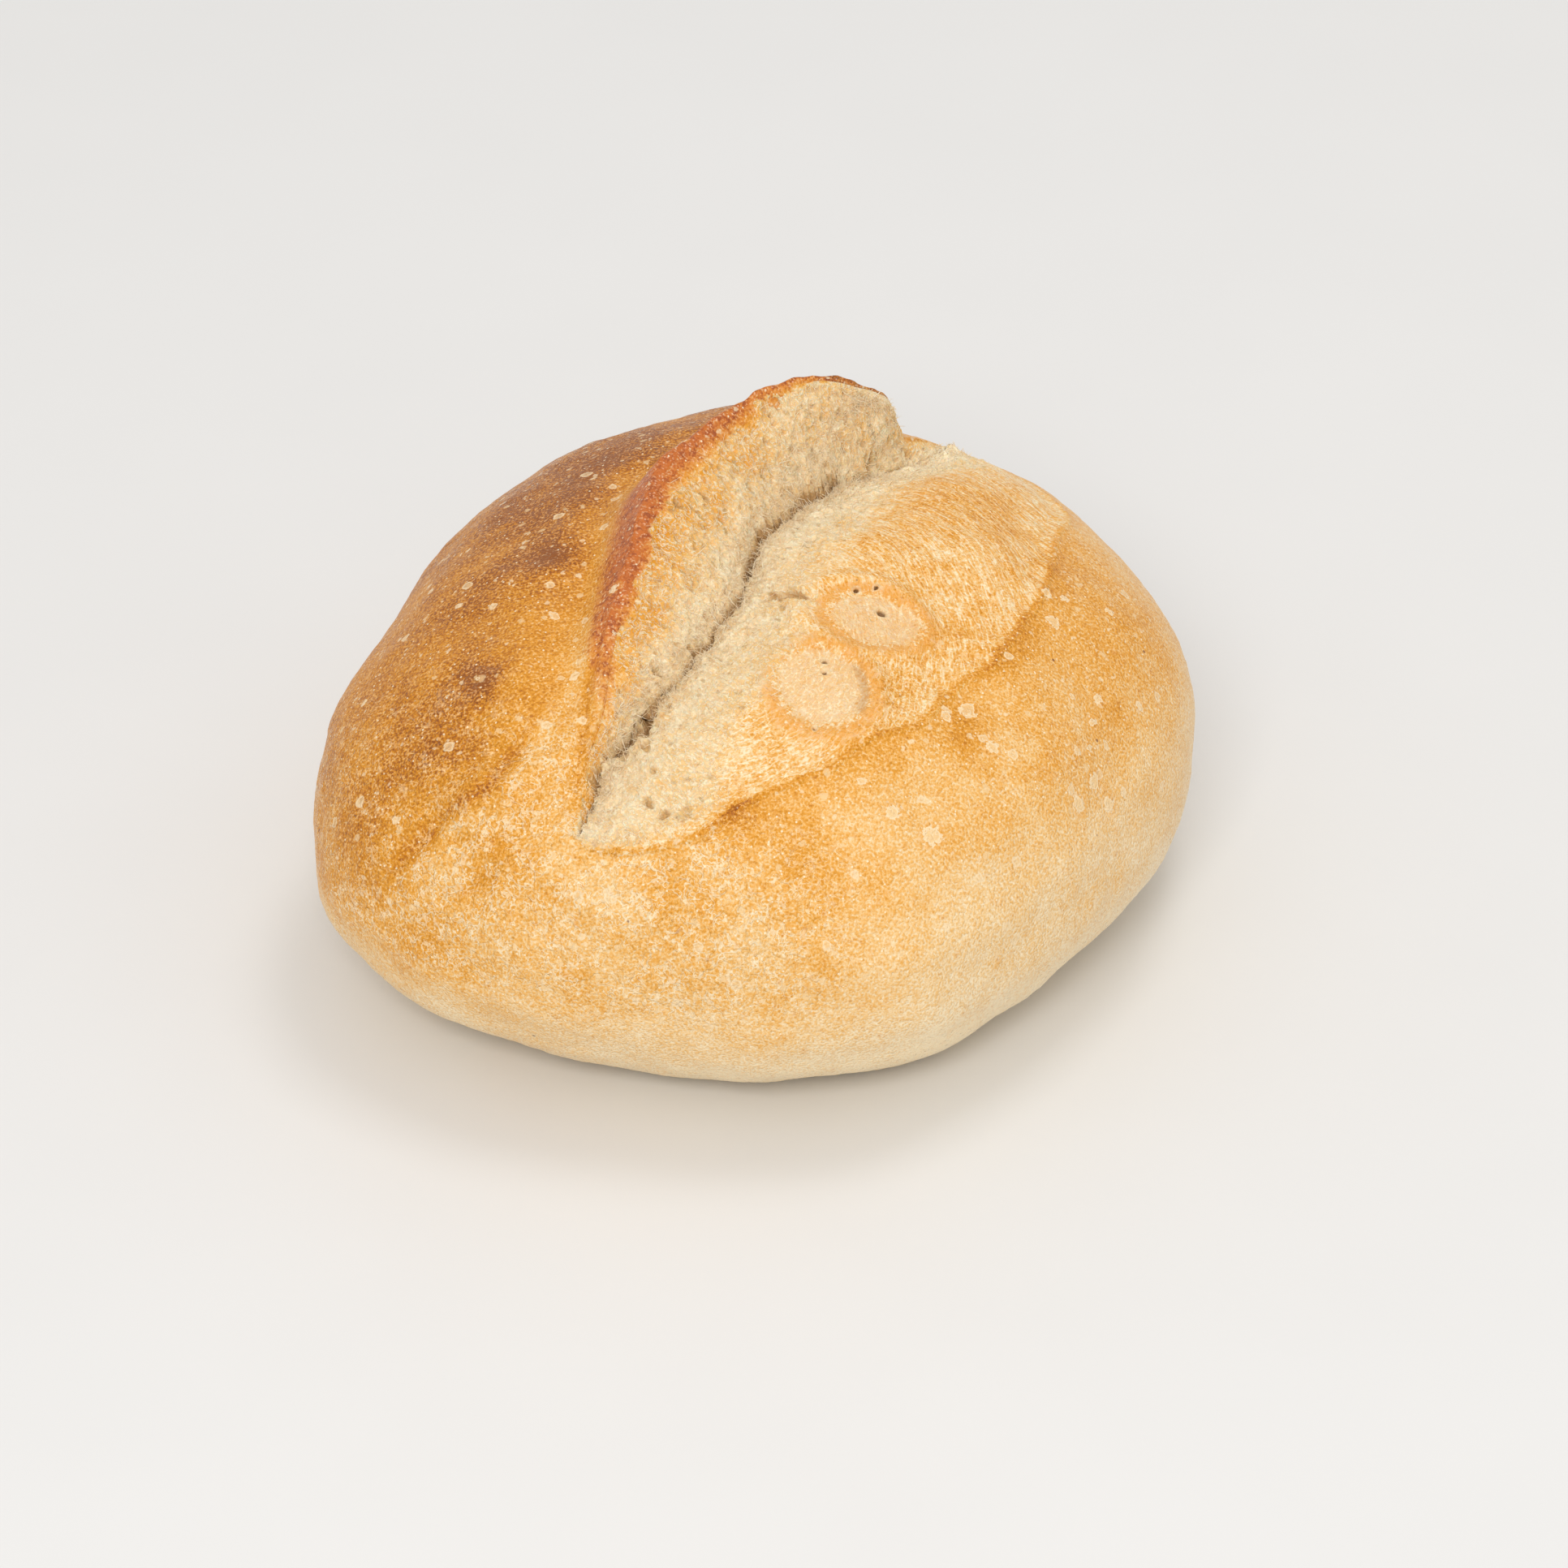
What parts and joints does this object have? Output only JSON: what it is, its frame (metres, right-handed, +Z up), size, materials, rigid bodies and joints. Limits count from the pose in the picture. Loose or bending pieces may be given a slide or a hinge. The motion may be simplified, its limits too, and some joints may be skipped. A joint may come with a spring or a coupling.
{
  "type": "sourdough loaf",
  "caption": "Round hearth-baked loaf with a domed browned crust, a long score, a raised ear over torn pale crumb, and a flat underside",
  "frame": {"origin": "middle of the loaf's plan at the level it stands on", "axes": "+Z up; +X to the right and +Y away as the loaf is seen with the low end of its ear at the front left"},
  "size_m": [0.1656, 0.1686, 0.0917],
  "materials": {
    "crust": "golden-brown baked crust, softly glossy, with pale torn crumb along the score"
  },
  "bodies": {
    "root": {"loaf": "crust"}
  },
  "joints": []
}
